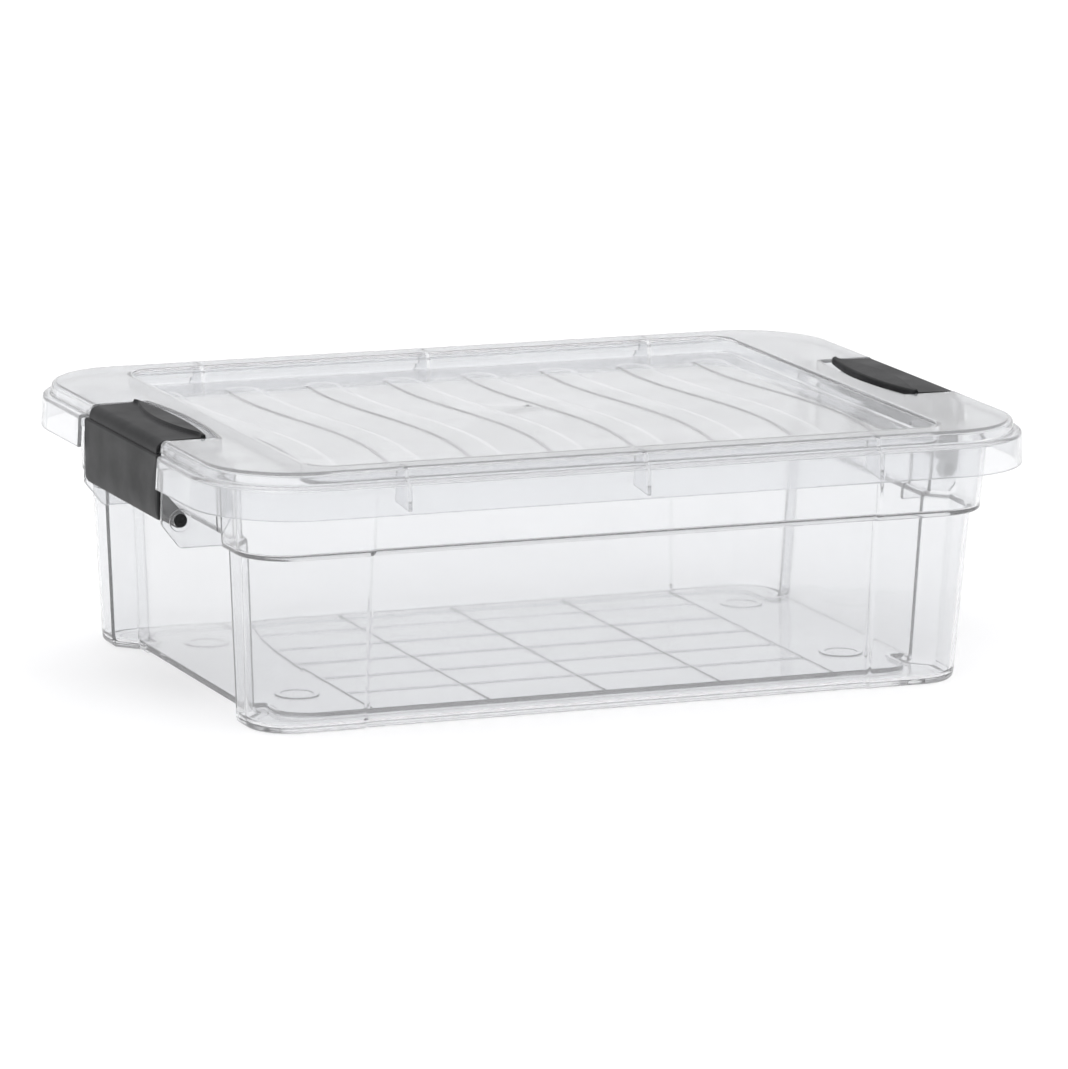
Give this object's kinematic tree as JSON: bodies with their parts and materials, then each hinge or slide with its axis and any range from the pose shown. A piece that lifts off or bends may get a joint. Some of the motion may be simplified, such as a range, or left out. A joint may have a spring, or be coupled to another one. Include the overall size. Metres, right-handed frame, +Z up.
{
  "type": "stackable storage bin",
  "caption": "Low rectangular clear plastic storage bin with tapered stepped walls, a flanged lid with a sunken ribbed panel, and dark latches that pivot on the ends and hook over the lid.",
  "frame": {"origin": "on the ground, below the middle of the bin", "axes": "+X along the bin towards the right latch, +Y across it to the back, +Z up"},
  "size_m": [0.43, 0.301, 0.1328],
  "materials": {
    "clear_tub": "clear, glossy, very faintly grey",
    "clear_lid": "clear, glossy, very faintly grey",
    "latch_plastic": "dark grey, satin, finely textured"
  },
  "bodies": {
    "tub": {"tub": "clear_tub"},
    "lid": {"lid": "clear_lid"},
    "latch_left": {"latch_left": "latch_plastic"},
    "latch_right": {"latch_right": "latch_plastic"}
  },
  "joints": [
    {"name": "lid_lift", "type": "slide", "parent": "tub", "child": "lid", "axis": [0, 0, 1], "range_m": [0, 0.0314]},
    {"name": "latch_left_swing", "type": "hinge", "parent": "tub", "child": "latch_left", "pos_m": [-0.2025, 0, 0.0933], "axis": [0, -1, 0], "range_deg": [0, 150]},
    {"name": "latch_right_swing", "type": "hinge", "parent": "tub", "child": "latch_right", "pos_m": [0.2025, 0, 0.0933], "axis": [0, 1, 0], "range_deg": [0, 150]}
  ],
  "couplings": [
    {"joint": "latch_left_swing", "follows": "lid_lift", "rad_per_m": 83.3},
    {"joint": "latch_right_swing", "follows": "lid_lift", "rad_per_m": 83.3}
  ]
}
